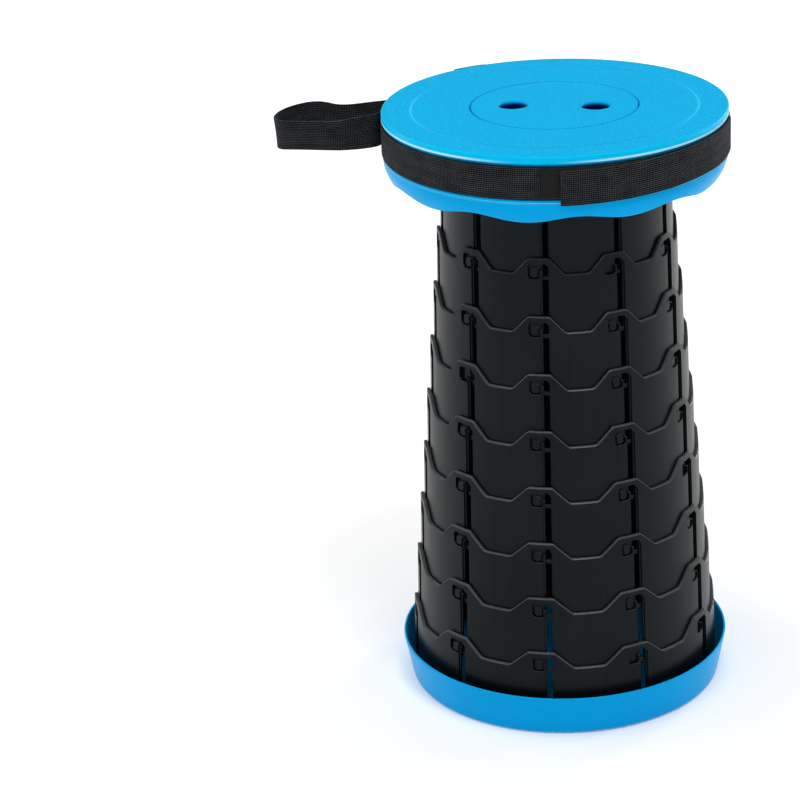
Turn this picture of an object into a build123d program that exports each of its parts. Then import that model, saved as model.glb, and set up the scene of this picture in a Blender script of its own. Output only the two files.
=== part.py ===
"""Telescopic camp stool: a round seat on nine nesting rings that stand in a base tray.

The frame: +Z up, the origin at the centre of the underside, the front of the stool
towards -Y and the two finger holes on the X axis. Azimuths are measured from -Y towards
+X. The stool is drawn pulled out and locked.
"""
import os
from math import asin, cos, degrees, radians, sin

from build123d import *

os.makedirs("parts", exist_ok=True)

# Overall sizes, in millimetres
SEAT_RADIUS = 125.5
SEAT_HEIGHT = 450.0
RING_COUNT = 9            # visible rings, ring 1 at the top
COLUMNS = 10              # arches, slots and pegs round each ring
PITCH = 360.0 / COLUMNS
COLUMN_TURN = 0.85        # degrees from the front to the first column of slots

# Nesting rings
NECK_RADIUS = 80.2        # outer radius of ring 0, the neck, at its top
RING_STEP = 3.9           # each ring is this much larger in radius than the one above it
RING_WALL = 2.4
RING_HEIGHT = 59.0
RING_RISE = 42.6          # each ring stands this much above the next
TAPER = 0.025             # a ring grows by this much in radius for each mm down
FIRST_ARCH = 405.6        # height of ring 1's arch tops
ARCH_OFFSET = -3.1        # an arch is centred this many degrees beside its slot
ARCH_FLAT = 10.2          # degrees of flat on top of an arch
ARCH_SLOPE = 7.1          # degrees taken by each sloping side
ARCH_DEPTH = 12.0
ARCH_ROUNDING = [3.0, 4.5, 4.5, 3.0]
EDGE_CHAMFER = 0.7

# The hooked slot that guides and locks the peg of the ring inside
SLOT_HALF = 2.3
SLOT_TOP = 3.8            # depths are measured down from the arch tops
SLOT_BOTTOM = 56.8
SLOT_ROUNDING = [3.6, 2.6, 2.6, 1.6, 0.8, 0.8]
SLOT_MIDDLE = -30.0       # where the rounded hook meets the straight leg
NOTCH_LEFT = -12.5
NOTCH_RIGHT = -4.0
NOTCH_BOTTOM = 15.3
HUMP_TOP = 9.2
LEDGE_DEPTH = 1.0
LEDGE_RIGHT = 1.5         # width of the ledge on the slot's right-hand side
LEDGE_RIGHT_TOP = 6.8
LEDGE_LEFT_TOP = 8.2

PEG_WIDE = 3.2            # half widths of the oval peg
PEG_TALL = 4.2
PEG_OUT = 1.7
PEG_ROOT = 0.7
PEG_TAPER = 14.0
PEG_SIDE = -8.2           # the peg's place beside the slot
PEG_LOCKED = 10.7         # its depth when it hangs in the notch
RELIEF_DEPTH = 1.5        # blind groove inside the wall, below the notch
RELIEF_WIDTH = 8.0
CUT_INSIDE = 10.0         # cutting outlines are drawn this far inside the outer face
CUT_REACH = 16.0
CUT_PAST = 3.0            # and run this far past an end
FLANGE = 2.0
NECK_FLANGE_WIDTH = 14.0
FOOT_FLANGE_WIDTH = 6.0   # inside the screw circle

# Seat
PLATE = 4.5
RIM_ROUNDING = 1.4
WALL_OUT = 124.4          # the wall behind the strap
WALL_IN = 121.4
GROOVE_LOW = 418.6
GROOVE_HIGH = 444.6
DISC_RADIUS = 60.6
DISC_GAP = 0.5
DISC_THICK = 3.6
FINGER_RADIUS = 10.2
FINGER_ROUNDING = 2.0
FINGER_X = 30.0
FINGER_DEPTH = 14.0
FINGER_WALL = 1.8
SMILE_RADIUS = 52.5
SMILE_HALF_ANGLE = 49.0
SMILE_WIDTH = 1.0
PLATE_LINE_RADIUS = 104.0
PLATE_LINE_HALF = 0.6
LINE_DEPTH = 0.4
DISC_LEDGE = 7.0          # the disc rests on a ledge this wide
DISC_LEDGE_THICK = 2.7
DISC_LEDGE_WALL = 3.0
GUSSET_DROP = 13.0
GUSSET_REACH = 3.0
GUSSET_HALF = 0.9
SNAP_TURN = 14.0          # degrees taken by each snap hook
SNAP_THICK = 1.6
SNAP_BARB = 1.2
SKIRT_LOBE = 400.6        # lowest points of the wavy edge
SKIRT_WAVE = 4.9
SKIRT_TURN = -4.0         # degrees from the front to the first lobe
SKIRT_FOOT = 119.0        # radius at the lobes
LIP_RADIUS = 125.3
LIP_HEIGHT = 2.2
SPIGOT_WALL = 2.0
SPIGOT_HEIGHT = 10.4
SKIRT_CUT_RADIUS = 105.0
SKIRT_CUT_REACH = 22.0

# Base tray
TRAY_RIM = 124.8
TRAY_HEIGHT = 32.0
TRAY_FOOT = 118.6
TRAY_WALL = 1.8
FLOOR_TOP = 3.2
PAD_PROUD = 0.6
PAD_SUNK = 1.0
PAD_RADIUS = 7.0
CENTRE_PAD_RADIUS = 20.0
POCKET_IN = 34.0
POCKET_OUT = 94.0
POCKET_DEPTH = 1.0

# Strap of woven webbing; its ends and patches lie in layers on the band
STRAP_LOW = 419.0
STRAP_WIDTH = 25.0
STRAP_THICK = 1.2
STRAP_IN = 124.8
LAYER_GAP = 0.1
PATCH_THICK = 0.6
PATCH_INSET = 2.0
HOOK_START = 1.8          # azimuths of the closure at the front
TAIL_START = 7.9
PATCH_END = 62.0
TAIL_END = 88.0
TAIL_DROP = 2.0           # the loose tail hangs this much below the band
REAR_END = 221.5          # azimuth of the free end at the back left
REAR_START = 186.0
LOOP_ROOT = (-126.9, 13.3)
LOOP_CORNERS = [(-139.0, -14.0), (-207.0, -27.0), (-207.5, 27.5), (-140.5, 29.5)]
LOOP_ROUNDING = [14.0, 18.0, 22.0, 10.0, 1.5]

# Screws
SCREW_RADIUS = 1.5
HEAD_RADIUS = 2.9
SEAT_HEAD = 1.8
BASE_HEAD = 1.5
SEAT_SCREW_CIRCLE = 72.0
BASE_SCREW_CIRCLE = 109.0
SEAT_SHANK = 4.5
BASE_SHANK = 2.8
SCREW_GAP = 0.2
HEAD_GAP = 0.3
RECESS_LONG = 3.2
RECESS_WIDE = 0.7
RECESS_DEPTH = 0.8


def arch_top(index):
    """Height of a ring's arch tops."""
    return FIRST_ARCH - RING_RISE * (index - 1)


def outer_radius(index, depth):
    """Outer radius of a ring at a depth below its arch tops."""
    return NECK_RADIUS + RING_STEP * index + TAPER * depth


def column_azimuth(column):
    """Azimuth of a column of slots."""
    return PITCH * column + COLUMN_TURN


def side_plane(azimuth, height, radius=0.0):
    """A vertical plane that faces outwards, with its own x to the right and y up."""
    turn = radians(azimuth)
    outwards = Vector(sin(turn), -cos(turn), 0)
    place = outwards * radius + Vector(0, 0, height)
    return Plane(origin=place, x_dir=(cos(turn), sin(turn), 0), z_dir=outwards)


def axial_plane(azimuth):
    """A vertical plane through the axis, with its own x outwards and y up."""
    turn = radians(azimuth)
    return Plane(origin=(0, 0, 0), x_dir=(sin(turn), -cos(turn), 0), z_dir=(-cos(turn), -sin(turn), 0))


def peg_azimuth(index):
    """Degrees from a slot to the peg on a ring, which sits in the notch of the next ring out."""
    return degrees(asin(PEG_SIDE / outer_radius(index + 1, PEG_LOCKED)))


def wall_band(index, start, end, inner, outer):
    """Corners of a strip of ring wall between two depths, given from its outer face inwards."""
    top = arch_top(index)
    return [
        (outer_radius(index, start) - inner, top - start),
        (outer_radius(index, start) - outer, top - start),
        (outer_radius(index, end) - outer, top - end),
        (outer_radius(index, end) - inner, top - end),
    ]


def finish(piece, name):
    """Label a finished piece and write it out."""
    piece.part.label = name
    export_step(piece.part, f"parts/{name}.step")


def arch_valleys(index):
    """Outlines of the valleys between a ring's arches, drawn inside the wall and facing outwards."""
    radius = outer_radius(index, 0)
    half_valley = PITCH / 2 - ARCH_FLAT / 2 - ARCH_SLOPE
    low = radius * sin(radians(half_valley))
    high = radius * sin(radians(half_valley + ARCH_SLOPE))
    end = radius * sin(radians(PITCH / 2)) + 0.5
    outlines = []
    for column in range(COLUMNS):
        azimuth = column_azimuth(column + 0.5) + ARCH_OFFSET
        with BuildSketch(side_plane(azimuth, arch_top(index), radius - CUT_INSIDE)) as valley:
            with BuildLine():
                edge = FilletPolyline(
                    (-end, 0), (-high, 0), (-low, -ARCH_DEPTH), (low, -ARCH_DEPTH), (high, 0), (end, 0),
                    radius=ARCH_ROUNDING,
                )
                Polyline(edge @ 1, (end, CUT_PAST), (-end, CUT_PAST), edge @ 0)
            make_face()
        outlines += valley.sketch.faces()
    return outlines


def hooked_slots(index):
    """Outlines of a ring's hooked slots: a long leg, a neck over a hump, and the locking notch."""
    outlines = []
    for column in range(COLUMNS):
        plane = side_plane(column_azimuth(column), arch_top(index), outer_radius(index, 0) - CUT_INSIDE)
        with BuildSketch(plane) as slot:
            with BuildLine():
                hook = FilletPolyline(
                    (SLOT_HALF, SLOT_MIDDLE), (SLOT_HALF, -SLOT_TOP), (NOTCH_LEFT, -SLOT_TOP),
                    (NOTCH_LEFT, -NOTCH_BOTTOM), (NOTCH_RIGHT, -NOTCH_BOTTOM), (NOTCH_RIGHT, -HUMP_TOP),
                    (-SLOT_HALF, -HUMP_TOP), (-SLOT_HALF, SLOT_MIDDLE),
                    radius=SLOT_ROUNDING,
                )
                Polyline(hook @ 1, (-SLOT_HALF, -SLOT_BOTTOM), (SLOT_HALF, -SLOT_BOTTOM), hook @ 0)
            make_face()
        outlines += slot.sketch.faces()
    return outlines


def wall_sections(index, azimuth, start, end, inner, outer):
    """Sections of wall between two depths, one for each column, ready to be swept round the axis."""
    sections = []
    for column in range(COLUMNS):
        with BuildSketch(axial_plane(column_azimuth(column) + azimuth)) as section:
            Polygon(*wall_band(index, start, end, inner, outer), align=None)
        sections += section.sketch.faces()
    return sections


def peg_roots(index):
    """Ovals where a ring's locking pegs stand, just under its outer face."""
    depth = PEG_LOCKED + RING_RISE
    radius = outer_radius(index, depth) - PEG_ROOT
    ovals = []
    for column in range(COLUMNS):
        azimuth = column_azimuth(column) + peg_azimuth(index)
        with BuildSketch(side_plane(azimuth, arch_top(index) - depth, radius)) as root:
            SlotOverall(2 * PEG_TALL, 2 * PEG_WIDE, rotation=90)
        ovals += root.sketch.faces()
    return ovals


def crest_edges(piece, index):
    """The outer edges of a ring's arches."""
    low = arch_top(index) - ARCH_DEPTH - 1
    nearly_outside = outer_radius(index, 0) - 0.6
    edges = piece.edges().filter_by_position(Axis.Z, low, arch_top(index) + 0.1)
    return [edge for edge in edges if Vector((edge @ 0.5).X, (edge @ 0.5).Y).length > nearly_outside]


# --- Rings ---------------------------------------------------------------------------------------

for number in range(1, RING_COUNT + 1):
    slot_edge = degrees((SLOT_HALF - 0.2) / outer_radius(number, 0))
    left_turn = degrees((NOTCH_RIGHT + SLOT_HALF) / outer_radius(number, 0))
    right_turn = degrees(LEDGE_RIGHT / outer_radius(number, 0))
    relief_turn = degrees(RELIEF_WIDTH / outer_radius(number, 0))
    relief_start = peg_azimuth(number - 1) - relief_turn / 2
    with BuildPart() as ring:
        with BuildSketch(Plane.XZ):
            Polygon(*wall_band(number, -1, RING_HEIGHT, 0, RING_WALL), align=None)
        revolve(axis=Axis.Z)
        extrude(arch_valleys(number), amount=CUT_REACH, mode=Mode.SUBTRACT)
        chamfer(crest_edges(ring, number), length=EDGE_CHAMFER)
        extrude(hooked_slots(number), amount=CUT_REACH, mode=Mode.SUBTRACT)
        # a ledge on each side of a slot, and the blind groove that a peg runs down inside
        revolve(
            wall_sections(number, -slot_edge, LEDGE_LEFT_TOP, SLOT_BOTTOM, -1, LEDGE_DEPTH),
            axis=Axis.Z, revolution_arc=left_turn, mode=Mode.SUBTRACT,
        )
        revolve(
            wall_sections(number, slot_edge, LEDGE_RIGHT_TOP, SLOT_BOTTOM, -1, LEDGE_DEPTH),
            axis=Axis.Z, revolution_arc=right_turn, mode=Mode.SUBTRACT,
        )
        revolve(
            wall_sections(
                number, relief_start, PEG_LOCKED, RING_HEIGHT + CUT_PAST,
                RING_WALL - RELIEF_DEPTH, RING_WALL + 1,
            ),
            axis=Axis.Z, revolution_arc=relief_turn, mode=Mode.SUBTRACT,
        )
        if number < RING_COUNT:
            extrude(peg_roots(number), amount=PEG_ROOT + PEG_OUT, taper=PEG_TAPER)
        else:
            # the lowest ring turns inwards to a flange that is screwed to the tray floor
            foot_radius = outer_radius(number, RING_HEIGHT)
            with BuildSketch(Plane.XY.offset(FLOOR_TOP)):
                Circle(foot_radius)
                Circle(BASE_SCREW_CIRCLE - FOOT_FLANGE_WIDTH, mode=Mode.SUBTRACT)
            extrude(amount=FLANGE)
            with BuildSketch(Plane.XY.offset(FLOOR_TOP)):
                Circle(foot_radius)
                Circle(foot_radius - RING_WALL, mode=Mode.SUBTRACT)
            extrude(amount=arch_top(number) - RING_HEIGHT - FLOOR_TOP)
            with BuildSketch(Plane.XY.offset(FLOOR_TOP)):
                with PolarLocations(BASE_SCREW_CIRCLE, COLUMNS):
                    Circle(SCREW_RADIUS)
            extrude(amount=FLANGE, mode=Mode.SUBTRACT)
    finish(ring, f"ring_{number}")

# the neck is ring 0: it hangs under the seat and has pegs but no arches
neck_top = SEAT_HEIGHT - PLATE
neck_cut = arch_top(0) - neck_top
with BuildPart() as neck_ring:
    with BuildSketch(Plane.XZ):
        Polygon(*wall_band(0, neck_cut, RING_HEIGHT, 0, RING_WALL), align=None)
    revolve(axis=Axis.Z)
    with BuildSketch(Plane.XY.offset(neck_top - FLANGE)):
        Circle(NECK_RADIUS)
        Circle(NECK_RADIUS - NECK_FLANGE_WIDTH, mode=Mode.SUBTRACT)
        with PolarLocations(SEAT_SCREW_CIRCLE, COLUMNS):
            Circle(SCREW_RADIUS + SCREW_GAP, mode=Mode.SUBTRACT)
    extrude(amount=FLANGE)
    extrude(peg_roots(0), amount=PEG_ROOT + PEG_OUT, taper=PEG_TAPER)
finish(neck_ring, "neck_ring")

# --- Seat ----------------------------------------------------------------------------------------

ledge_top = SEAT_HEIGHT - DISC_THICK
ledge_low = ledge_top - DISC_LEDGE_THICK
ledge_in = DISC_RADIUS - DISC_LEDGE
opening = DISC_RADIUS + DISC_GAP
collar_out = opening + DISC_LEDGE_WALL
with BuildPart() as seat_top:
    with BuildSketch(Plane.XZ):
        Polygon(
            (opening, SEAT_HEIGHT), (opening, ledge_top), (ledge_in, ledge_top), (ledge_in, ledge_low),
            (collar_out, ledge_low), (collar_out, neck_top), (WALL_IN, neck_top),
            (WALL_IN, GROOVE_LOW), (WALL_OUT, GROOVE_LOW), (WALL_OUT, GROOVE_HIGH),
            (SEAT_RADIUS, GROOVE_HIGH), (SEAT_RADIUS, SEAT_HEIGHT), align=None,
        )
    revolve(axis=Axis.Z)
    top_edges = seat_top.edges().filter_by(GeomType.CIRCLE).group_by(Axis.Z)[-1].sort_by(SortBy.RADIUS)
    fillet(top_edges[-1], radius=RIM_ROUNDING)
    fillet(top_edges[0], radius=0.5)
    # a fine line round the plate
    with BuildSketch(Plane.XY.offset(SEAT_HEIGHT)):
        Circle(PLATE_LINE_RADIUS + PLATE_LINE_HALF)
        Circle(PLATE_LINE_RADIUS - PLATE_LINE_HALF, mode=Mode.SUBTRACT)
    extrude(amount=-LINE_DEPTH, mode=Mode.SUBTRACT)
    # gussets between the plate and its wall, on the inside
    with BuildSketch(Plane.XZ) as gusset:
        Polygon(
            (WALL_IN, neck_top), (WALL_IN, neck_top - GUSSET_DROP), (WALL_IN - GUSSET_REACH, neck_top),
            align=None,
        )
    with PolarLocations(0, 2 * COLUMNS):
        add(extrude(gusset.sketch, amount=GUSSET_HALF, both=True, mode=Mode.PRIVATE))
    with BuildSketch(Plane.XY.offset(neck_top)):
        with PolarLocations(SEAT_SCREW_CIRCLE, COLUMNS):
            Circle(SCREW_RADIUS)
    extrude(amount=CUT_PAST, mode=Mode.SUBTRACT)
finish(seat_top, "seat_top")

# the skirt plugs into the seat's wall with a short spigot
lip_low = GROOVE_LOW - LIP_HEIGHT
spigot_out = WALL_IN - 0.2
spigot_in = spigot_out - SPIGOT_WALL
spigot_top = GROOVE_LOW + SPIGOT_HEIGHT
skirt_low = SKIRT_LOBE - 0.5
with BuildPart() as seat_skirt:
    with BuildSketch(Plane.XZ):
        with BuildLine():
            belly = Spline(
                (LIP_RADIUS - 0.2, lip_low - 1.0), (LIP_RADIUS - 1.0, lip_low - 6.4),
                (SKIRT_FOOT + 3.2, SKIRT_LOBE + 4.4), (SKIRT_FOOT, skirt_low), tangents=[(0, -1), (-1, -0.9)],
            )
            Polyline(
                belly @ 1, (SKIRT_FOOT - 2, skirt_low), (SKIRT_FOOT + 1, SKIRT_LOBE + 6), (spigot_in, lip_low),
                (spigot_in, spigot_top), (spigot_out, spigot_top), (spigot_out, GROOVE_LOW),
                (LIP_RADIUS, GROOVE_LOW), (LIP_RADIUS, lip_low), (LIP_RADIUS - 0.9, lip_low - 0.5), belly @ 0,
            )
        make_face()
    revolve(axis=Axis.Z)
    lip_edge = seat_skirt.edges().filter_by(GeomType.CIRCLE).sort_by(SortBy.RADIUS)[-2:]
    fillet(lip_edge, radius=0.6)
    # ten smooth waves in the lower edge, with a lobe near each column of slots
    half_wave = (SKIRT_FOOT + 2) * sin(radians(PITCH / 2))
    for column in range(COLUMNS):
        with BuildSketch(side_plane(PITCH * (column + 0.5) + SKIRT_TURN, SKIRT_LOBE, SKIRT_CUT_RADIUS)):
            with BuildLine():
                wave = Spline(
                    (-half_wave, 0), (-half_wave / 2, SKIRT_WAVE / 2), (0, SKIRT_WAVE),
                    (half_wave / 2, SKIRT_WAVE / 2), (half_wave, 0), tangents=[(1, 0), (1, 0)],
                )
                Polyline(wave @ 1, (half_wave, -2), (-half_wave, -2), wave @ 0)
            make_face()
        extrude(amount=SKIRT_CUT_REACH, mode=Mode.SUBTRACT)
finish(seat_skirt, "seat_skirt")

with BuildPart() as centre_disc:
    with BuildSketch(Plane.XY.offset(ledge_top)):
        Circle(DISC_RADIUS)
    extrude(amount=DISC_THICK)
    fillet(centre_disc.edges().group_by(Axis.Z)[-1], radius=0.5)
    with BuildSketch(Plane.XY.offset(SEAT_HEIGHT - FINGER_DEPTH)):
        with Locations((-FINGER_X, 0), (FINGER_X, 0)):
            Circle(FINGER_RADIUS + FINGER_WALL)
    extrude(amount=FINGER_DEPTH - DISC_THICK)
    with BuildSketch(Plane.XY.offset(SEAT_HEIGHT - FINGER_DEPTH)):
        with Locations((-FINGER_X, 0), (FINGER_X, 0)):
            Circle(FINGER_RADIUS)
    extrude(amount=FINGER_DEPTH, mode=Mode.SUBTRACT)
    rims = centre_disc.edges().filter_by(GeomType.CIRCLE).group_by(Axis.Z)[-1]
    fillet([edge for edge in rims if edge.radius < DISC_RADIUS / 2], radius=FINGER_ROUNDING)
    # a shallow curved line behind the finger holes
    with BuildSketch(Plane.XY.offset(SEAT_HEIGHT)):
        with BuildLine():
            CenterArc((0, 0), SMILE_RADIUS, 90 - SMILE_HALF_ANGLE, 2 * SMILE_HALF_ANGLE)
        trace(line_width=SMILE_WIDTH)
    extrude(amount=-LINE_DEPTH, mode=Mode.SUBTRACT)
    # snap hooks that hold the disc to the ledge
    snap_out = ledge_in - 0.4
    snap_in = snap_out - SNAP_THICK
    snap_low = ledge_low - 2.9
    with BuildSketch(Plane.XZ) as snap_hook:
        Polygon(
            (snap_in, ledge_top), (snap_out, ledge_top), (snap_out, ledge_low - 0.4),
            (snap_out + SNAP_BARB, ledge_low - 0.6), (snap_out, snap_low), (snap_in, snap_low), align=None,
        )
    hook_solid = revolve(snap_hook.sketch, axis=Axis.Z, revolution_arc=SNAP_TURN, mode=Mode.PRIVATE)
    with PolarLocations(0, 4, start_angle=45 - SNAP_TURN / 2):
        add(hook_solid)
finish(centre_disc, "centre_disc")

# --- Base tray -----------------------------------------------------------------------------------

with BuildPart() as base_tray:
    with BuildSketch(Plane.XZ):
        Polygon(
            (0, PAD_PROUD), (TRAY_FOOT, PAD_PROUD), (TRAY_RIM, TRAY_HEIGHT), (TRAY_RIM - TRAY_WALL, TRAY_HEIGHT),
            (TRAY_FOOT - 1.5, FLOOR_TOP), (0, FLOOR_TOP), align=None,
        )
    revolve(axis=Axis.Z)
    foot_edge = base_tray.edges().filter_by(GeomType.CIRCLE).group_by(Axis.Z)[0].sort_by(SortBy.RADIUS)[-1]
    fillet(foot_edge, radius=1.6)
    rim_edges = base_tray.edges().filter_by(GeomType.CIRCLE).group_by(Axis.Z)[-1]
    fillet(rim_edges, radius=0.8)
    # shallow pockets in the underside, between ten spokes
    with BuildSketch(Plane.XY.offset(PAD_PROUD)) as pocket:
        with BuildLine():
            inner_arc = CenterArc((0, 0), POCKET_IN, -PITCH / 2 + 6, PITCH - 12)
            outer_arc = CenterArc((0, 0), POCKET_OUT, -PITCH / 2 + 2.5, PITCH - 5)
            Line(inner_arc @ 0, outer_arc @ 0)
            Line(inner_arc @ 1, outer_arc @ 1)
        make_face()
    with PolarLocations(0, COLUMNS):
        add(extrude(pocket.sketch, amount=POCKET_DEPTH, mode=Mode.PRIVATE), mode=Mode.SUBTRACT)
    # counterbored holes for the screws, and seats for the pads
    with BuildSketch(Plane.XY.offset(PAD_PROUD)):
        with PolarLocations(BASE_SCREW_CIRCLE, COLUMNS):
            Circle(HEAD_RADIUS + HEAD_GAP)
    extrude(amount=BASE_HEAD + 0.1, mode=Mode.SUBTRACT)
    with BuildSketch(Plane.XY.offset(PAD_PROUD)):
        with PolarLocations(BASE_SCREW_CIRCLE, COLUMNS):
            Circle(SCREW_RADIUS + SCREW_GAP)
    extrude(amount=CUT_PAST, mode=Mode.SUBTRACT)
    with BuildSketch(Plane.XY.offset(PAD_PROUD)):
        with PolarLocations(BASE_SCREW_CIRCLE, COLUMNS, start_angle=PITCH / 2):
            Circle(PAD_RADIUS)
        Circle(CENTRE_PAD_RADIUS)
    extrude(amount=PAD_SUNK, mode=Mode.SUBTRACT)
finish(base_tray, "base_tray")

with BuildPart() as foot_pads:
    with BuildSketch():
        with PolarLocations(BASE_SCREW_CIRCLE, COLUMNS, start_angle=PITCH / 2):
            Circle(PAD_RADIUS)
        Circle(CENTRE_PAD_RADIUS)
    extrude(amount=PAD_PROUD + PAD_SUNK)
    chamfer(foot_pads.edges().group_by(Axis.Z)[0], length=0.3)
finish(foot_pads, "foot_pads")

# --- Screws --------------------------------------------------------------------------------------

# each row: name, circle they stand on, underside of the heads, head height, length under the head
for name, circle, head_low, head_height, shank in (
    ("seat_screws", SEAT_SCREW_CIRCLE, neck_top - FLANGE - SEAT_HEAD, SEAT_HEAD, SEAT_SHANK),
    ("base_screws", BASE_SCREW_CIRCLE, PAD_PROUD + 0.1, BASE_HEAD, BASE_SHANK),
):
    with BuildPart() as screws:
        with BuildSketch(Plane.XY.offset(head_low)):
            with PolarLocations(circle, COLUMNS):
                Circle(HEAD_RADIUS)
        extrude(amount=head_height)
        with BuildSketch(Plane.XY.offset(head_low + head_height)):
            with PolarLocations(circle, COLUMNS):
                Circle(SCREW_RADIUS)
        extrude(amount=shank)
        # cross recesses
        with BuildSketch(Plane.XY.offset(head_low)):
            with PolarLocations(circle, COLUMNS):
                Rectangle(RECESS_LONG, RECESS_WIDE)
                Rectangle(RECESS_WIDE, RECESS_LONG)
        extrude(amount=RECESS_DEPTH, mode=Mode.SUBTRACT)
    finish(screws, name)

# --- Strap ---------------------------------------------------------------------------------------

patch_in = STRAP_IN + STRAP_THICK + LAYER_GAP
loop_patch_in = patch_in + PATCH_THICK + LAYER_GAP
tail_in = loop_patch_in + PATCH_THICK + LAYER_GAP
inset_low = STRAP_LOW + PATCH_INSET
inset_width = STRAP_WIDTH - 2 * PATCH_INSET

# each row: name, inner radius, thickness, lower edge, width, first and last azimuth
for name, inner, thickness, low, width, start, end in (
    ("strap_band", STRAP_IN, STRAP_THICK, STRAP_LOW, STRAP_WIDTH, 0, 360),
    ("hook_patch", patch_in, PATCH_THICK, inset_low, inset_width, HOOK_START, PATCH_END),
    ("loop_patch", loop_patch_in, PATCH_THICK, inset_low - TAIL_DROP / 2, inset_width, TAIL_START + 1, PATCH_END),
    ("strap_tail", tail_in, STRAP_THICK, STRAP_LOW - TAIL_DROP, STRAP_WIDTH, TAIL_START, TAIL_END),
    ("strap_end", tail_in, STRAP_THICK, STRAP_LOW + TAIL_DROP, STRAP_WIDTH, REAR_START, REAR_END),
):
    with BuildPart() as layer:
        with BuildSketch(axial_plane(start)) as section:
            Polygon(
                (inner, low), (inner + thickness, low), (inner + thickness, low + width), (inner, low + width),
                align=None,
            )
        revolve(axis=Axis.Z, revolution_arc=end - start)
    finish(layer, name)

with BuildPart() as strap_loop:
    with BuildSketch(Plane.XY.offset(STRAP_LOW)):
        with BuildLine():
            FilletPolyline(*LOOP_CORNERS, LOOP_ROOT, radius=LOOP_ROUNDING, close=True)
        make_face()
        offset(amount=-STRAP_THICK, mode=Mode.SUBTRACT)
    extrude(amount=STRAP_WIDTH)
finish(strap_loop, "strap_loop")
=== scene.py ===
"""Looks for the telescopic camp stool: materials on the moulded parts, and its webbing strap."""
from math import atan2, cos, pi, radians, sin, sqrt

import bmesh
import bpy
from mathutils import Matrix, Vector


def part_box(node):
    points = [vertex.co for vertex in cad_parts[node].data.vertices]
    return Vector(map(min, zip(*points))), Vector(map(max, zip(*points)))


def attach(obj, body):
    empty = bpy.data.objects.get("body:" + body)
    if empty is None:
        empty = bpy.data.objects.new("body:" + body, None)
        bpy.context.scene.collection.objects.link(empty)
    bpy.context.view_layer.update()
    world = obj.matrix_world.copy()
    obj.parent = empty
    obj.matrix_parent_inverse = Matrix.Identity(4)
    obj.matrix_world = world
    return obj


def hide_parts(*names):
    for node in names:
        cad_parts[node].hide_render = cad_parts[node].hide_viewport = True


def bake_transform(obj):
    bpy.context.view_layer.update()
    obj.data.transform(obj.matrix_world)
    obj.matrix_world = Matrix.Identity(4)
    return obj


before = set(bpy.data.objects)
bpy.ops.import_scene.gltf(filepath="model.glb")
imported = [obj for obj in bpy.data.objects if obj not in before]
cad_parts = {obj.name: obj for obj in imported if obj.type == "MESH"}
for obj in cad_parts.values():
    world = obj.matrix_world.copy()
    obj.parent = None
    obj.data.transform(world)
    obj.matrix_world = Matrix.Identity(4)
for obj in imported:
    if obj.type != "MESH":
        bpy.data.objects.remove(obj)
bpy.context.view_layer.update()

MM = 0.001
YARN = 2.9 * MM           # two warp yarns of the webbing, side by side
PICK = 2.5 * MM           # two weft picks, one after the other
FINGER_X = 30 * MM        # the finger holes stand this far each side of the middle
FINGER_COLLAR = 12.4 * MM
PLATE_LINE = 104 * MM     # radius of the fine line round the seat
SMILE_LINE = 52.5 * MM    # and of the short curved line behind the finger holes
SMILE_FRONT = 34.4 * MM
DISC_EDGE = 60.85 * MM
LIP_LOW = 416.4 * MM      # lower edge of the skirt's lip
RIM_LOW = 444.6 * MM      # and of the seat's rim

# Places that come from the frame
seat_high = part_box("seat_top")[1]
band_low, band_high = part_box("strap_band")

# Camera, fitted to the shape of the seat and base ellipses
CAMERA_TURN = radians(6.5)
CAMERA_DISTANCE = 1.949
CAMERA_HEIGHT = 1.0205
CAMERA_YAW = radians(-3.54)
CAMERA_PITCH = radians(22.24)
CAMERA_ROLL = radians(-2.46)
CAMERA_LENS = 125.7


# --- Node helpers --------------------------------------------------------------------------------


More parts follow.
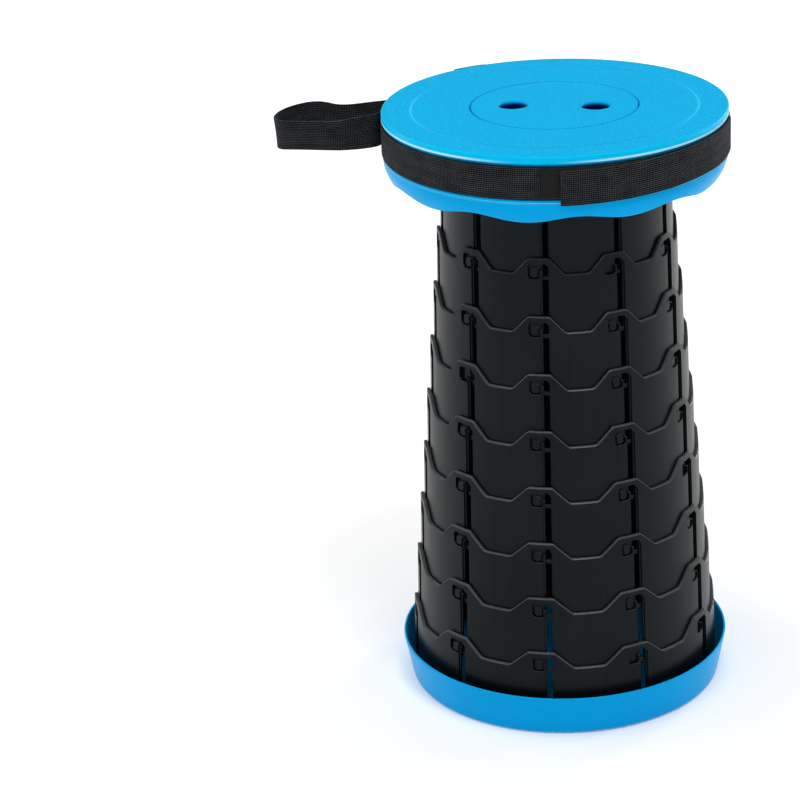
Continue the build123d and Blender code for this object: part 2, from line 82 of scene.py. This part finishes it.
class Shader:
    """A material under construction, with short ways to add and join nodes."""

    def __init__(self, name):
        self.material = bpy.data.materials.new(name)
        self.material.use_nodes = True
        self.tree = self.material.node_tree
        self.surface = self.tree.nodes["Principled BSDF"]

    def node(self, kind, **values):
        node = self.tree.nodes.new(kind)
        for key, value in values.items():
            setattr(node, key, value)
        return node

    def plug(self, value, socket):
        """Give a socket a link or a plain value."""
        if isinstance(value, bpy.types.NodeSocket):
            self.tree.links.new(value, socket)
        else:
            socket.default_value = value

    def math(self, operation, first, second=0.0):
        node = self.node("ShaderNodeMath", operation=operation)
        self.plug(first, node.inputs[0])
        self.plug(second, node.inputs[1])
        return node.outputs[0]

    def ramp(self, value, low, high, smooth=True):
        """0 below low and 1 above high, or the other way round when low is the greater."""
        node = self.node("ShaderNodeMapRange", interpolation_type="SMOOTHSTEP" if smooth else "LINEAR")
        self.plug(value, node.inputs["Value"])
        node.inputs["From Min"].default_value = low
        node.inputs["From Max"].default_value = high
        return node.outputs["Result"]

    def length(self, x, y):
        squares = self.math("ADD", self.math("MULTIPLY", x, x), self.math("MULTIPLY", y, y))
        return self.math("SQRT", squares)

    def facing_up(self):
        """How far the surface faces up, from -1 to 1."""
        split = self.node("ShaderNodeSeparateXYZ")
        self.plug(self.node("ShaderNodeNewGeometry").outputs["Normal"], split.inputs[0])
        return split.outputs[2]

    def near(self, value, middle, half):
        """1 within about half of a middle value, 0 beyond it."""
        away = self.math("ABSOLUTE", self.math("SUBTRACT", value, middle))
        return self.ramp(away, half * 1.3, half * 0.7)

    def spread(self, value, low, high):
        """Map 0..1 to low..high."""
        node = self.node("ShaderNodeMapRange")
        self.plug(value, node.inputs["Value"])
        node.inputs["To Min"].default_value = low
        node.inputs["To Max"].default_value = high
        return node.outputs["Result"]

    def mix(self, factor, first, second):
        node = self.node("ShaderNodeMix", data_type="RGBA")
        self.plug(factor, node.inputs["Factor"])
        self.plug(first, node.inputs["A"])
        self.plug(second, node.inputs["B"])
        return node.outputs["Result"]

    def place(self):
        """The point on the object, in metres, and its three numbers."""
        point = self.node("ShaderNodeTexCoord").outputs["Object"]
        split = self.node("ShaderNodeSeparateXYZ")
        self.plug(point, split.inputs[0])
        return point, split.outputs[0], split.outputs[1], split.outputs[2]

    def vector(self, x, y, z):
        node = self.node("ShaderNodeCombineXYZ")
        for value, socket in zip((x, y, z), node.inputs):
            self.plug(value, socket)
        return node.outputs[0]

    def noise(self, point, scale, detail=3.0, roughness=0.5):
        node = self.node("ShaderNodeTexNoise")
        self.plug(point, node.inputs["Vector"])
        node.inputs["Scale"].default_value = scale
        node.inputs["Detail"].default_value = detail
        node.inputs["Roughness"].default_value = roughness
        return node.outputs["Fac"]

    def bump(self, height, distance, strength=1.0, before=None):
        node = self.node("ShaderNodeBump")
        node.inputs["Strength"].default_value = strength
        node.inputs["Distance"].default_value = distance
        self.plug(height, node.inputs["Height"])
        if before is not None:
            self.plug(before, node.inputs["Normal"])
        return node.outputs["Normal"]

    def finish(self, colour, roughness, normal=None, **plain):
        """Join the colour, roughness and normal, and set plain numbers on the shader's own sockets."""
        self.plug(colour, self.surface.inputs["Base Color"])
        self.plug(roughness, self.surface.inputs["Roughness"])
        if normal is not None:
            self.plug(normal, self.surface.inputs["Normal"])
        for key, value in plain.items():
            self.surface.inputs[key.replace("_", " ")].default_value = value
        return self.material


# --- Materials -----------------------------------------------------------------------------------


def blue_plastic():
    """Bright blue moulding: leather grain on the flat top, satin elsewhere, with faint mould flow, painted
    highlights on its lines, rim and lip, and painted shade in the finger holes and round the disc.
    """
    s = Shader("blue_plastic")
    point, x, y, z = s.place()
    top = s.math("MULTIPLY", s.ramp(z, seat_high.z - 2.2 * MM, seat_high.z - 0.6 * MM),
                 s.ramp(s.facing_up(), 0.72, 0.96))
    warp = s.node("ShaderNodeTexNoise")
    s.plug(point, warp.inputs["Vector"])
    warp.inputs["Scale"].default_value = 300.0
    wobble = s.node("ShaderNodeVectorMath", operation="MULTIPLY_ADD")
    s.plug(warp.outputs["Color"], wobble.inputs[0])
    wobble.inputs[1].default_value = (0.0014, 0.0014, 0.0)
    s.plug(point, wobble.inputs[2])
    cells = s.node("ShaderNodeTexVoronoi", feature="SMOOTH_F1")
    s.plug(wobble.outputs[0], cells.inputs["Vector"])
    cells.inputs["Scale"].default_value = 430.0
    cells.inputs["Smoothness"].default_value = 0.45
    grain = s.math("SUBTRACT", 1.0, cells.outputs["Distance"])
    fine = s.noise(point, 2100.0, 2.0)
    relief = s.math("ADD", grain, s.math("MULTIPLY", fine, 0.3))
    broad = s.noise(point, 14.0, 4.0, 0.6)
    speck = s.noise(point, 700.0, 3.0, 0.7)
    pits = s.mix(s.ramp(grain, 0.35, 0.85), (0.0007, 0.345, 0.65, 1), (0.0009, 0.418, 0.74, 1))
    light = s.mix(s.spread(broad, -0.1, 0.45), pits, (0.0010, 0.450, 0.78, 1))
    out = s.length(x, y)
    # painted highlight: pale glints on the tops of the grain, stronger towards the outer part of the seat
    painted_grain_glints = s.math("MULTIPLY", s.ramp(relief, 0.93, 1.12), s.ramp(out, 92 * MM, 118 * MM))
    light = s.mix(s.math("MULTIPLY", painted_grain_glints, 0.45), light, (0.12, 0.72, 0.95, 1))
    # painted highlight: the fine line round the seat and the short curved line behind the finger holes are painted
    # paler
    smile = s.math("MULTIPLY", s.near(out, SMILE_LINE, 0.9 * MM), s.ramp(y, SMILE_FRONT, SMILE_FRONT + MM))
    painted_line_highlight = s.math("ADD", s.near(out, PLATE_LINE, 0.9 * MM), smile)
    light = s.mix(s.math("MULTIPLY", painted_line_highlight, 0.65), light, (0.06, 0.64, 0.92, 1))
    # painted shade: a dark navy line in the gap round the centre disc
    light = s.mix(s.math("MULTIPLY", s.near(out, DISC_EDGE, 0.8 * MM), 0.7), light, (0.0006, 0.05, 0.2, 1))
    side = s.mix(s.ramp(speck, 0.3, 0.75), (0.0008, 0.375, 0.83, 1), (0.0010, 0.425, 0.90, 1))
    # painted highlight: a pale line along the lower edge of the skirt's lip
    painted_lip_highlight = s.math("MULTIPLY", s.near(z, LIP_LOW - 0.3 * MM, 0.7 * MM), s.ramp(out, 123.6 * MM, 124.4 * MM))
    side = s.mix(s.math("MULTIPLY", painted_lip_highlight, 0.65), side, (0.12, 0.80, 1.0, 1))
    # the seat's rolled rim: its wall brightened as painted light, and paler towards its lower edge at the sides
    # with a painted highlight
    painted_rim_light = s.math("MULTIPLY", s.ramp(z, RIM_LOW - 0.4 * MM, RIM_LOW), s.ramp(out, 124.4 * MM, 124.7 * MM))
    side = s.mix(painted_rim_light, side, (0.0010, 0.54, 0.93, 1))
    # painted highlight: a pale line low on the rim wall, fading out towards the front and back
    pale = s.math("MULTIPLY", s.near(z, RIM_LOW + 0.9 * MM, 0.8 * MM), s.math("MULTIPLY", painted_rim_light, 0.9))
    pale = s.math("MULTIPLY", pale, s.ramp(s.math("ABSOLUTE", x), 12 * MM, 60 * MM))
    side = s.mix(pale, side, (0.50, 0.93, 1.0, 1))
    colour = s.mix(top, side, light)
    # painted shade: the walls of the finger holes darken with depth
    beside = s.length(s.math("SUBTRACT", s.math("ABSOLUTE", x), FINGER_X), y)
    painted_hole_shade = s.math("MULTIPLY", s.ramp(beside, FINGER_COLLAR + 0.3 * MM, FINGER_COLLAR),
                  s.ramp(z, seat_high.z - 1.2 * MM, seat_high.z - 3.4 * MM))
    painted_hole_shade = s.math("MULTIPLY", painted_hole_shade, s.ramp(z, seat_high.z - 40 * MM, seat_high.z - 30 * MM))
    colour = s.mix(painted_hole_shade, colour, (0.0004, 0.010, 0.13, 1))
    rough = s.math("ADD", s.spread(top, 0.30, 0.40), s.spread(broad, -0.05, 0.05))
    bump = s.bump(s.math("MULTIPLY", relief, s.spread(top, 0.03, 1.0)), 0.00045, 0.8)
    return s.finish(colour, rough, bump, Specular_IOR_Level=0.05, Specular_Tint=(0.3, 0.85, 1.0, 1.0))


def ring_plastic():
    """Black nylon: satin, with faint upright streaks from the mould and a painted highlight on edges that face up.
    """
    s = Shader("ring_plastic")
    point, x, y, z = s.place()
    angle = s.math("ARCTAN2", x, y)
    streak_point = s.vector(s.math("MULTIPLY", angle, 26.0), s.math("MULTIPLY", z, 2.2), 0.0)
    streaks = s.noise(streak_point, 2.4, 4.0, 0.62)
    hairs = s.noise(s.vector(s.math("MULTIPLY", angle, 150.0), s.math("MULTIPLY", z, 9.0), 0.3), 2.0, 2.0)
    patches = s.noise(point, 22.0, 3.0)
    fine = s.noise(point, 1900.0, 3.0, 0.6)
    tone = s.math("ADD", s.math("MULTIPLY", streaks, 0.6), s.math("MULTIPLY", patches, 0.4))
    colour = s.mix(s.ramp(tone, 0.32, 0.7), (0.0030, 0.0039, 0.0047, 1), (0.0060, 0.0074, 0.0086, 1))
    # painted highlight: paler colour on faces turned upwards, the chamfered crests and the tops of the pegs
    painted_edge_highlight = s.ramp(s.facing_up(), 0.16, 0.5)
    colour = s.mix(s.math("MULTIPLY", painted_edge_highlight, s.spread(patches, 0.4, 1.0)), colour, (0.095, 0.100, 0.106, 1))
    rough = s.math("ADD", s.spread(streaks, 0.27, 0.39), s.spread(hairs, -0.03, 0.03))
    rough = s.math("SUBTRACT", rough, s.math("MULTIPLY", painted_edge_highlight, 0.06))
    bump = s.bump(fine, 0.00003, 0.5)
    bump = s.bump(hairs, 0.00003, 0.4, bump)
    return s.finish(colour, rough, bump, Specular_IOR_Level=0.13, Specular_Tint=(0.80, 0.93, 1.0, 1.0))


def webbing(name, dark, light, sheen):
    """Woven webbing. The first UV number runs along the strap and the second across it, in metres."""
    s = Shader(name)
    uv = s.node("ShaderNodeTexCoord").outputs["UV"]
    split = s.node("ShaderNodeSeparateXYZ")
    s.plug(uv, split.inputs[0])
    along, across = split.outputs[0], split.outputs[1]
    warp_wave = s.math("SINE", s.math("MULTIPLY", across, 2 * pi / YARN))
    weft_wave = s.math("ABSOLUTE", s.math("SINE", s.math("MULTIPLY", along, 2 * pi / PICK)))
    weave = s.math("MULTIPLY", s.math("ABSOLUTE", warp_wave), s.spread(weft_wave, 0.1, 1.0))
    fibres = s.noise(s.vector(s.math("MULTIPLY", along, 520.0), s.math("MULTIPLY", across, 1900.0), 0.0),
                     1.0, 2.0)
    fluff = s.noise(s.vector(s.math("MULTIPLY", along, 700.0), s.math("MULTIPLY", across, 700.0), 7.0),
                    1.0, 3.0, 0.7)
    broad = s.noise(s.vector(s.math("MULTIPLY", along, 60.0), s.math("MULTIPLY", across, 90.0), 4.0), 1.0, 2.0)
    height = s.math("ADD", weave, s.math("MULTIPLY", fibres, 0.5))
    shade = s.math("MULTIPLY", s.math("ADD", s.math("MULTIPLY", weave, 0.75), s.math("MULTIPLY", fibres, 0.5)),
                   s.spread(broad, 0.65, 1.25))
    shade = s.math("ADD", shade, s.spread(s.ramp(fluff, 0.56, 0.75), 0.0, 0.3))
    colour = s.mix(s.ramp(shade, 0.46, 1.02, smooth=False), dark, light)
    return s.finish(colour, s.spread(fibres, 0.72, 0.92), s.bump(height, 0.0004, 1.0),
                    Specular_IOR_Level=0.10, Sheen_Weight=sheen, Sheen_Roughness=0.45)


def pile(name, scale, depth, dark, light):
    """Hook or loop tape: a dense dark nap."""
    s = Shader(name)
    point = s.place()[0]
    cells = s.node("ShaderNodeTexVoronoi")
    s.plug(point, cells.inputs["Vector"])
    cells.inputs["Scale"].default_value = scale
    fuzz = s.noise(point, scale * 1.7, 4.0, 0.7)
    height = s.math("ADD", s.math("MULTIPLY", cells.outputs["Distance"], -0.8), fuzz)
    colour = s.mix(fuzz, dark, light)
    return s.finish(colour, s.spread(fuzz, 0.82, 0.95), s.bump(height, depth, 0.9),
                    Specular_IOR_Level=0.2, Sheen_Weight=0.15, Sheen_Roughness=0.5)


def rubber():
    """Soft black rubber with a dusty, slightly worn underside."""
    s = Shader("foot_rubber")
    point = s.place()[0]
    dust = s.noise(point, 120.0, 5.0, 0.65)
    fine = s.noise(point, 2400.0, 2.0)
    colour = s.mix(s.ramp(dust, 0.45, 0.8), (0.013, 0.013, 0.014, 1), (0.045, 0.044, 0.043, 1))
    return s.finish(colour, s.spread(dust, 0.72, 0.9), s.bump(fine, 0.00004, 0.6), Specular_IOR_Level=0.3)


def screw_steel():
    """Zinc-plated steel with fine turning marks."""
    s = Shader("screw_steel")
    _, x, y, z = s.place()
    marks = s.noise(s.vector(s.math("MULTIPLY", x, 400.0), s.math("MULTIPLY", y, 400.0), z), 6.0, 3.0)
    colour = s.mix(marks, (0.42, 0.42, 0.44, 1), (0.62, 0.62, 0.61, 1))
    return s.finish(colour, s.spread(marks, 0.28, 0.45), s.bump(marks, 0.00003, 0.5), Metallic=1.0)


def thread():
    """Black sewing thread with a twist."""
    s = Shader("thread")
    point = s.place()[0]
    twist = s.noise(point, 3000.0, 2.0)
    colour = s.mix(twist, (0.016, 0.016, 0.017, 1), (0.05, 0.05, 0.052, 1))
    return s.finish(colour, s.spread(twist, 0.5, 0.7), s.bump(twist, 0.00005, 0.7), Sheen_Weight=0.2)


def floor_paint():
    """Plain pale studio floor that glows as painted light, more strongly away from the middle."""
    s = Shader("floor_paint")
    point, x, y, _ = s.place()
    tone = s.noise(point, 3.0, 2.0)
    # painted light: the floor glows, faintly near the stool and strongly far out
    s.plug(s.spread(s.ramp(s.length(x, y), 0.3, 3.5), 0.16, 0.95), s.surface.inputs["Emission Strength"])
    return s.finish(s.mix(tone, (0.90, 0.90, 0.90, 1), (0.93, 0.93, 0.93, 1)), 0.65, Specular_IOR_Level=0.15,
                    Emission_Color=(1.0, 1.0, 1.0, 1.0))


blue = blue_plastic()
black = ring_plastic()
web = webbing("webbing", (0.0003, 0.0005, 0.0008, 1), (0.078, 0.086, 0.098, 1), 0.02)
hooks = pile("hook_tape", 1500.0, 0.0003, (0.0025, 0.0025, 0.003, 1), (0.010, 0.010, 0.011, 1))
loops = pile("loop_tape", 900.0, 0.0004, (0.004, 0.004, 0.005, 1), (0.016, 0.016, 0.018, 1))
steel = screw_steel()
pads = rubber()
sewing = thread()


def dress(nodes, material, sharp=28.0):
    """Give CAD nodes a material and smooth shading, with edges above an angle kept crisp."""
    for name in nodes:
        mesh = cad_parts[name].data
        mesh.materials.clear()
        mesh.materials.append(material)
        if "custom_normal" in mesh.attributes:
            mesh.attributes.remove(mesh.attributes["custom_normal"])
        mesh.shade_smooth()
        mesh.set_sharp_from_angle(angle=radians(sharp))


dress(["seat_top", "seat_skirt", "centre_disc", "base_tray"], blue)
dress([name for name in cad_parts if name.startswith("ring_")] + ["neck_ring"], black)
dress(["foot_pads"], pads)
dress(["seat_screws", "base_screws"], steel)


# --- Webbing -------------------------------------------------------------------------------------

RIBS = 13                 # lengthwise ribs across 25 mm of webbing
RIB_HEIGHT = 0.16 * MM
WEB_HALF = 0.55 * MM      # half its thickness between the ribs
LOOP_LEAN = 0.3           # how far the loop's front leg leans outwards, for each unit of height
LOOP_RIPPLE = 90.0        # waves along the loop's edge, in radians a metre


def cross_section(width, ribs, half, rib_height):
    """The outline of webbing cut across: (out, up) pairs with ribbed faces and rounded selvedges."""
    points = []
    steps = ribs * 4
    for side in (1, -1):
        for i in range(steps + 1):
            share = i / steps
            up = (share - 0.5) * side * (width - 2 * half)
            rib = rib_height * abs(sin(pi * ribs * share))
            points.append((side * (half + rib), up))
        for turn in (60, 20, -20, -60):
            up = side * (width / 2 - half + half * cos(radians(turn)))
            points.append((side * half * sin(radians(turn)), up))
    return points


def strap(name, stations, width, material, closed=False, half=WEB_HALF, ribs=RIBS, rib_height=RIB_HEIGHT):
    """Webbing along a path. Each station is (place, outward, up, distance along)."""
    section = cross_section(width, ribs, half, rib_height)
    count = len(section)
    verts = []
    for place, outward, up, _ in stations:
        verts += [place + outward * out + up * high for out, high in section]
    faces, uvs = [], []
    spans = len(stations) if closed else len(stations) - 1
    total = stations[-1][3] + (stations[-1][0] - stations[0][0]).length
    for i in range(spans):
        j = (i + 1) % len(stations)
        here = stations[i][3]
        there = stations[j][3] if j else total
        for k in range(count):
            m = (k + 1) % count
            faces.append((i * count + k, j * count + k, j * count + m, i * count + m))
            uvs += [(here, section[k][1]), (there, section[k][1]), (there, section[m][1]), (here, section[m][1])]
    if not closed:
        faces.append(tuple(range(count)))
        faces.append(tuple(reversed(range((len(stations) - 1) * count, len(stations) * count))))
        uvs += [(here_out, here_up) for here_out, here_up in section]
        uvs += [(here_out, here_up) for here_out, here_up in reversed(section)]
    mesh = bpy.data.meshes.new(name)
    mesh.from_pydata(verts, [], faces)
    layer = mesh.uv_layers.new(name="strap")
    for loop, value in zip(layer.data, uvs):
        loop.uv = value
    mesh.materials.append(material)
    tidy = bmesh.new()
    tidy.from_mesh(mesh)
    bmesh.ops.recalc_face_normals(tidy, faces=tidy.faces)
    tidy.to_mesh(mesh)
    tidy.free()
    mesh.shade_smooth()
    mesh.set_sharp_from_angle(angle=radians(50))
    piece = bpy.data.objects.new(name, mesh)
    bpy.context.scene.collection.objects.link(piece)
    return piece


def round_stations(radius_at, middle_at, start, end, step=1.2):
    """Stations round the seat between two azimuths in degrees, measured from -Y towards +X."""
    count = max(2, round((end - start) / step) + 1)
    stations = []
    along = 0.0
    before = None
    for i in range(count):
        azimuth = start + (end - start) * i / (count - 1)
        turn = radians(azimuth)
        outward = Vector((sin(turn), -cos(turn), 0))
        place = outward * radius_at(azimuth) + Vector((0, 0, middle_at(azimuth)))
        if before is not None:
            along += (place - before).length
        before = place
        stations.append((place, outward, Vector((0, 0, 1)), along))
    return stations


def ease(value, start, end):
    """Smoothly 0 at start and 1 at end."""
    share = min(1.0, max(0.0, (value - start) / (end - start)))
    return share * share * (3 - 2 * share)


band_width = band_high.z - band_low.z
band_middle = (band_high.z + band_low.z) / 2
SHADOW_GAP = 1.1 * MM     # the woven band stops this far under the top of its space
BAND_INSET = 0.62 * MM    # from the outside of the band's space to the middle of the webbing
HOOK_RADIUS = 126.55 * MM
NAP_RADIUS = 127.1 * MM
TAIL_RADIUS = 127.95 * MM
REAR_RADIUS = 127.0 * MM
PATCH_END = 62            # azimuth where both patches of the closure end, in degrees
TAPE = {"half": 0.28 * MM, "ribs": 4, "rib_height": 0.0}
band_radius = band_high.x - BAND_INSET
TAIL_START, TAIL_END = 7.9, 88.0
HOOK_START = 1.8
REAR_START, REAR_END = 186.0, 221.5

band = strap("strap_band_webbing",
             round_stations(lambda a: band_radius, lambda a: band_middle - SHADOW_GAP / 2, 0, 358.8),
             band_width - SHADOW_GAP, web, closed=True)
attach(band, "seat")
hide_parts("strap_band")

hook = strap("hook_patch_tape",
             round_stations(lambda a: HOOK_RADIUS, lambda a: band_middle - 0.2 * MM, HOOK_START, PATCH_END),
             21.5 * MM, hooks, **TAPE)
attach(hook, "seat")
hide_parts("hook_patch")

nap = strap("loop_patch_tape",
            round_stations(lambda a: NAP_RADIUS, lambda a: band_middle - 1.0 * MM, TAIL_START + 1, PATCH_END),
            21.0 * MM, loops, **TAPE)
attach(nap, "seat")
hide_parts("loop_patch")


def tail_reach(azimuth):
    """The tail's free end at the front lifts a little, and its far end sinks to the band."""
    swell = 0.5 * MM * (1 - ease(azimuth, TAIL_START, 20))
    return TAIL_RADIUS + swell - 1.3 * MM * ease(azimuth, 66, TAIL_END)


def tail_height(azimuth):
    return band_middle - 3.6 * MM * (1 - ease(azimuth, TAIL_START, 75))


tail = strap("strap_tail_webbing", round_stations(tail_reach, tail_height, TAIL_START, TAIL_END), band_width, web)
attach(tail, "seat")
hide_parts("strap_tail")


def rear_reach(azimuth):
    return REAR_RADIUS + 3.4 * MM * ease(azimuth, 200, 212)


def rear_height(azimuth):
    return band_middle + 4.6 * MM * ease(azimuth, 196, 212)


rear = strap("strap_end_webbing", round_stations(rear_reach, rear_height, REAR_START, REAR_END), band_width, web)
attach(rear, "seat")
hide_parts("strap_end")

# The hanging loop: a plan of listed points, in millimetres. It lies on the band from the back leg
# to the front leg, then runs out along the front leg and comes back along the other one
LOOP_PLAN = [
    (-125.3, 25.0), (-127.2, 12.0), (-127.9, 3.0), (-129.4, -2.6), (-134.0, -7.0), (-141.0, -11.2), (-149.0, -14.6),
    (-158.0, -17.6), (-168.0, -19.6), (-178.5, -20.6), (-189.0, -20.8), (-197.3, -18.6), (-202.4, -13.4),
    (-204.3, -5.5), (-203.2, 3.0), (-199.4, 11.2), (-193.2, 18.2), (-185.4, 23.3), (-177.6, 24.8), (-170.4, 22.7),
    (-163.6, 19.8), (-156.6, 20.2), (-149.2, 22.7), (-141.6, 25.6), (-134.2, 28.6), (-127.6, 31.0), (-124.6, 29.6),
]


def smooth_path(points, per_span=7):
    """A closed Catmull-Rom curve through plan points."""
    path = []
    for i, here in enumerate(points):
        before, after, beyond = points[i - 1], points[(i + 1) % len(points)], points[(i + 2) % len(points)]
        for step in range(per_span):
            t = step / per_span
            path.append(Vector([
                0.5 * (2 * here[k] + (after[k] - before[k]) * t
                       + (2 * before[k] - 5 * here[k] + 4 * after[k] - beyond[k]) * t * t
                       + (3 * here[k] - before[k] - 3 * after[k] + beyond[k]) * t ** 3)
                for k in (0, 1)
            ] + [0.0]) * MM)
    return path


def loop_stations():
    """Stations round the loop; its front leg leans outwards at the top."""
    path = smooth_path(LOOP_PLAN)
    stations = []
    along = 0.0
    for i, place in enumerate(path):
        ahead, behind = path[(i + 1) % len(path)], path[i - 1]
        tangent = (ahead - behind).normalized()
        outward = Vector((-tangent.y, tangent.x, 0))
        reach = ease(-place.x, 0.131, 0.165)
        lean = LOOP_LEAN * reach * max(0.0, -outward.y)
        middle = band_middle - 0.4 * MM + 0.6 * MM * sin(along * LOOP_RIPPLE) * reach
        if i:
            along += (place - behind).length
        up = (Vector((0, 0, 1)) + outward * lean).normalized()
        face = (outward - Vector((0, 0, lean))).normalized()
        stations.append((place + Vector((0, 0, middle)), face, up, along))
    return stations


loop = strap("strap_loop_webbing", loop_stations(), band_width, web, closed=True)
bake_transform(loop)
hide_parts("strap_loop")


# --- Stitching -----------------------------------------------------------------------------------

STITCH_RINGS = 7          # rings of points along one stitch, and points in each ring
STITCH_SIDES = 6
TAIL_SEAM = 127.0 * MM    # radii at which the stitches lie
REAR_SEAM = 127.75 * MM
SEAM_HALF = 9 * MM


def stitch_row(verts, faces, start, end, outward, length=2.2 * MM, gap=0.7 * MM, thick=0.22 * MM):
    """Add a row of raised stitches between two points."""
    direction = end - start
    count = max(1, int(direction.length / (length + gap)))
    direction.normalize()
    sideways = direction.cross(outward).normalized()
    for i in range(count):
        first = start + direction * (i * (length + gap))
        base = len(verts)
        for j in range(STITCH_RINGS):
            share = j / (STITCH_RINGS - 1)
            swell = sqrt(max(0.02, 1 - (2 * share - 1) ** 2))
            centre = first + direction * (length * share) + outward * (thick * 0.8 * (swell - 0.6))
            for k in range(STITCH_SIDES):
                turn = 2 * pi * k / STITCH_SIDES
                verts.append(centre + (sideways * cos(turn) + outward * sin(turn)) * thick * swell)
        for j in range(STITCH_RINGS - 1):
            for k in range(STITCH_SIDES):
                m = (k + 1) % STITCH_SIDES
                a = base + j * STITCH_SIDES
                faces.append((a + k, a + m, a + STITCH_SIDES + m, a + STITCH_SIDES + k))
        faces.append(tuple(base + k for k in reversed(range(STITCH_SIDES))))
        faces.append(tuple(base + (STITCH_RINGS - 1) * STITCH_SIDES + k for k in range(STITCH_SIDES)))


def stitch_box(verts, faces, radius, start, end, low, high):
    """A sewn rectangle on the strap between two azimuths."""
    def at(azimuth, height):
        turn = radians(azimuth)
        return Vector((radius * sin(turn), -radius * cos(turn), height))
    steps = 4
    for i in range(steps):
        first = start + (end - start) * i / steps
        last = start + (end - start) * (i + 1) / steps
        for height in (low, high):
            out = (at((first + last) / 2, 0)).normalized()
            stitch_row(verts, faces, at(first, height), at(last, height), out)
    for azimuth in (start, end):
        stitch_row(verts, faces, at(azimuth, low), at(azimuth, high), at(azimuth, 0).normalized())


verts, faces = [], []
low = band_middle - SEAM_HALF
high = band_middle + SEAM_HALF
stitch_box(verts, faces, TAIL_SEAM, 78, 86, low, high)
stitch_box(verts, faces, REAR_SEAM, REAR_START + 2, REAR_START + 9, low, high)
mesh = bpy.data.meshes.new("strap_stitches")
mesh.from_pydata(verts, [], faces)
mesh.materials.append(sewing)
mesh.shade_smooth()
stitches = bpy.data.objects.new("strap_stitches", mesh)
bpy.context.scene.collection.objects.link(stitches)
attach(stitches, "seat")


# --- Studio --------------------------------------------------------------------------------------


def add_floor():
    """A wide round floor."""
    mesh = bpy.data.meshes.new("floor")
    radius, sides, height = 9.0, 96, -0.2 * MM
    turns = [2 * pi * i / sides for i in range(sides)]
    ring = [(radius * cos(turn), radius * sin(turn), height) for turn in turns]
    mesh.from_pydata(ring, [], [tuple(range(sides))])
    mesh.materials.append(floor_paint())
    floor = bpy.data.objects.new("floor", mesh)
    bpy.context.scene.collection.objects.link(floor)


def add_light(name, place, target, width, height, power):
    """A rectangular softbox aimed at a point."""
    data = bpy.data.lights.new(name, "AREA")
    data.shape = "RECTANGLE"
    data.size = width
    data.size_y = height
    data.energy = power
    light = bpy.data.objects.new(name, data)
    bpy.context.scene.collection.objects.link(light)
    light.location = place
    light.rotation_euler = (Vector(target) - Vector(place)).to_track_quat("-Z", "Y").to_euler()


def add_world():
    """Dim even fill for the surfaces, and a pale backdrop beyond the floor."""
    world = bpy.data.worlds.new("studio")
    bpy.context.scene.world = world
    world.use_nodes = True
    tree = world.node_tree
    background = tree.nodes["Background"]
    background.inputs["Color"].default_value = (1, 1, 1, 1)
    background.inputs["Strength"].default_value = 0.2
    backdrop = tree.nodes.new("ShaderNodeBackground")
    backdrop.inputs["Color"].default_value = (1, 1, 1, 1)
    backdrop.inputs["Strength"].default_value = 1.0
    path = tree.nodes.new("ShaderNodeLightPath")
    mix = tree.nodes.new("ShaderNodeMixShader")
    tree.links.new(path.outputs["Is Camera Ray"], mix.inputs[0])
    tree.links.new(background.outputs[0], mix.inputs[1])
    tree.links.new(backdrop.outputs[0], mix.inputs[2])
    tree.links.new(mix.outputs[0], tree.nodes["World Output"].inputs["Surface"])


def add_camera():
    """The view that the stool is drawn from: a little to the right of its front and above it."""
    forward = Vector((sin(CAMERA_YAW) * cos(CAMERA_PITCH),
                      cos(CAMERA_YAW) * cos(CAMERA_PITCH),
                      -sin(CAMERA_PITCH)))
    right = Vector((cos(CAMERA_YAW), -sin(CAMERA_YAW), 0))
    up = right.cross(forward)
    level_right = right * cos(CAMERA_ROLL) + up * sin(CAMERA_ROLL)
    level_up = up * cos(CAMERA_ROLL) - right * sin(CAMERA_ROLL)
    data = bpy.data.cameras.new("camera")
    data.lens = CAMERA_LENS
    data.sensor_width = 36.0
    data.clip_end = 50.0
    camera = bpy.data.objects.new("camera", data)
    bpy.context.scene.collection.objects.link(camera)
    axes = Matrix((level_right, level_up, -forward)).transposed().to_4x4()
    place = Matrix.Translation((0, -CAMERA_DISTANCE, CAMERA_HEIGHT))
    camera.matrix_world = Matrix.Rotation(CAMERA_TURN, 4, "Z") @ place @ axes
    bpy.context.scene.camera = camera


add_floor()
add_light("top_softbox", (-0.5, -0.3, 3.2), (0, 0, 0.2), 3.6, 3.6, 86)
add_light("key_softbox", (0.75, -1.15, 3.0), (0, 0, 0.3), 0.8, 0.8, 22)
add_light("right_softbox", (1.55, 0.75, 0.75), (0, 0, 0.25), 0.5, 1.6, 5)
add_light("back_right_softbox", (1.25, 1.9, 0.95), (0, 0, 0.25), 0.4, 1.5, 13)
add_light("left_softbox", (-1.7, 0.55, 0.8), (0, 0, 0.25), 0.6, 1.5, 4)
add_world()
add_camera()
bpy.context.scene.view_settings.view_transform = "Standard"
